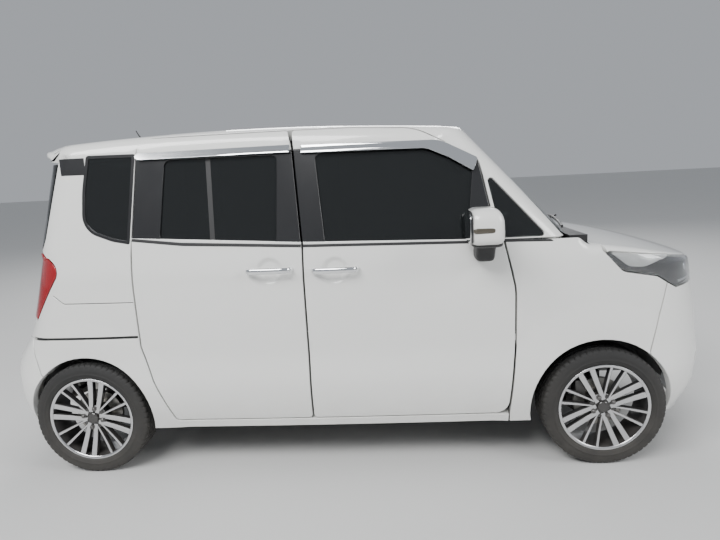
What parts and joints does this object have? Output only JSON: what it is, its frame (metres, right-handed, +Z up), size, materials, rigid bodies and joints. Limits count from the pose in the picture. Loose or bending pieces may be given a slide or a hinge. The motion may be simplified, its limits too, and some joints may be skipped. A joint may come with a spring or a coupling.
{
  "type": "kei car",
  "caption": "Short tall five-door town car with hinged front doors, a hinged left rear door, a sliding right rear door, tailgate, bonnet, steered front wheels and alloy rims.",
  "frame": {"origin": "on the ground under the middle of the car's length and width", "axes": "+X forward, +Y to the car's left, +Z up"},
  "size_m": [3.5892, 1.9932, 1.6998],
  "materials": {
    "paint": "gloss white",
    "trim": "black",
    "lamp": "clear",
    "red_lens": "red",
    "glass": "light tint",
    "dark_glass": "dark tint",
    "underbody": "satin",
    "iron": "satin",
    "engine": "cast",
    "exhaust": "brushed",
    "cloth": "woven",
    "cabin": "grained",
    "alloy": "machined",
    "tyre": "matt"
  },
  "bodies": {
    "chassis": {"body_side_right": "paint", "body_side_left": "paint", "centre_pillar": "trim", "roof_panel": "paint", "fender_right": "paint", "fender_left": "paint", "front_bumper": "paint", "rear_bumper": "paint", "grille": "trim", "headlamps": "lamp", "tail_lamps": "red_lens", "windscreen": "glass", "fixed_side_glass": "dark_glass", "cowl_cover": "trim", "floor_pan": "underbody", "front_suspension": "iron", "rear_suspension": "iron", "engine_block": "engine", "exhaust": "exhaust", "fuel_tank": "trim", "seats_front": "cloth", "seat_rear": "cloth", "dashboard": "cabin", "steering_wheel": "cabin", "door_rear_right": "paint", "door_glass_rear_right": "dark_glass"},
    "front_door_right": {"door_front_right": "paint", "door_glass_front_right": "dark_glass", "mirror_right": "paint"},
    "front_door_left": {"door_front_left": "paint", "door_glass_front_left": "dark_glass", "mirror_left": "paint"},
    "rear_door_left": {"door_rear_left": "paint", "door_glass_rear_left": "dark_glass"},
    "hatch": {"tailgate": "paint", "tailgate_glass": "dark_glass"},
    "hood": {"bonnet": "paint"},
    "upright_right": {"knuckle_right": "iron"},
    "upright_left": {"knuckle_left": "iron"},
    "wheel_front_right": {"rim_front_right": "alloy", "tyre_front_right": "tyre"},
    "wheel_front_left": {"rim_front_left": "alloy", "tyre_front_left": "tyre"},
    "wheel_rear_right": {"rim_rear_right": "alloy", "tyre_rear_right": "tyre"},
    "wheel_rear_left": {"rim_rear_left": "alloy", "tyre_rear_left": "tyre"}
  },
  "joints": [
    {"name": "door_front_right", "type": "hinge", "parent": "chassis", "child": "front_door_right", "pos_m": [0.782, -0.8, 0.7], "axis": [0, 0, 1], "range_deg": [0, 68]},
    {"name": "door_front_left", "type": "hinge", "parent": "chassis", "child": "front_door_left", "pos_m": [0.782, 0.8, 0.7], "axis": [0, 0, -1], "range_deg": [0, 68]},
    {"name": "door_rear_left", "type": "hinge", "parent": "chassis", "child": "rear_door_left", "pos_m": [-0.2, 0.8, 0.7], "axis": [0, 0, -1], "range_deg": [0, 70]},
    {"name": "tailgate_lift", "type": "hinge", "parent": "chassis", "child": "hatch", "pos_m": [-1.396, 0, 1.69], "axis": [0, 1, 0], "range_deg": [0, 82]},
    {"name": "bonnet_lift", "type": "hinge", "parent": "chassis", "child": "hood", "pos_m": [1.124, 0, 1.1], "axis": [0, -1, 0], "range_deg": [0, 52]},
    {"name": "steer_right", "type": "hinge", "parent": "chassis", "child": "upright_right", "pos_m": [1.1925, -0.64, 0.185], "axis": [0, 0.1457, 0.9893], "range_deg": [-34, 34]},
    {"name": "steer_left", "type": "hinge", "parent": "chassis", "child": "upright_left", "pos_m": [1.1925, 0.64, 0.185], "axis": [0, -0.1457, 0.9893], "range_deg": [-34, 34]},
    {"name": "wheel_front_right_spin", "type": "hinge", "parent": "upright_right", "child": "wheel_front_right", "pos_m": [1.1925, -0.69, 0.288], "axis": [0, 1, 0], "continuous": true},
    {"name": "wheel_front_left_spin", "type": "hinge", "parent": "upright_left", "child": "wheel_front_left", "pos_m": [1.1925, 0.69, 0.288], "axis": [0, 1, 0], "continuous": true},
    {"name": "wheel_rear_right_spin", "type": "hinge", "parent": "chassis", "child": "wheel_rear_right", "pos_m": [-1.3275, -0.69, 0.288], "axis": [0, 1, 0], "continuous": true},
    {"name": "wheel_rear_left_spin", "type": "hinge", "parent": "chassis", "child": "wheel_rear_left", "pos_m": [-1.3275, 0.69, 0.288], "axis": [0, 1, 0], "continuous": true}
  ],
  "couplings": [
    {"joint": "steer_left", "follows": "steer_right", "ratio": 1}
  ]
}
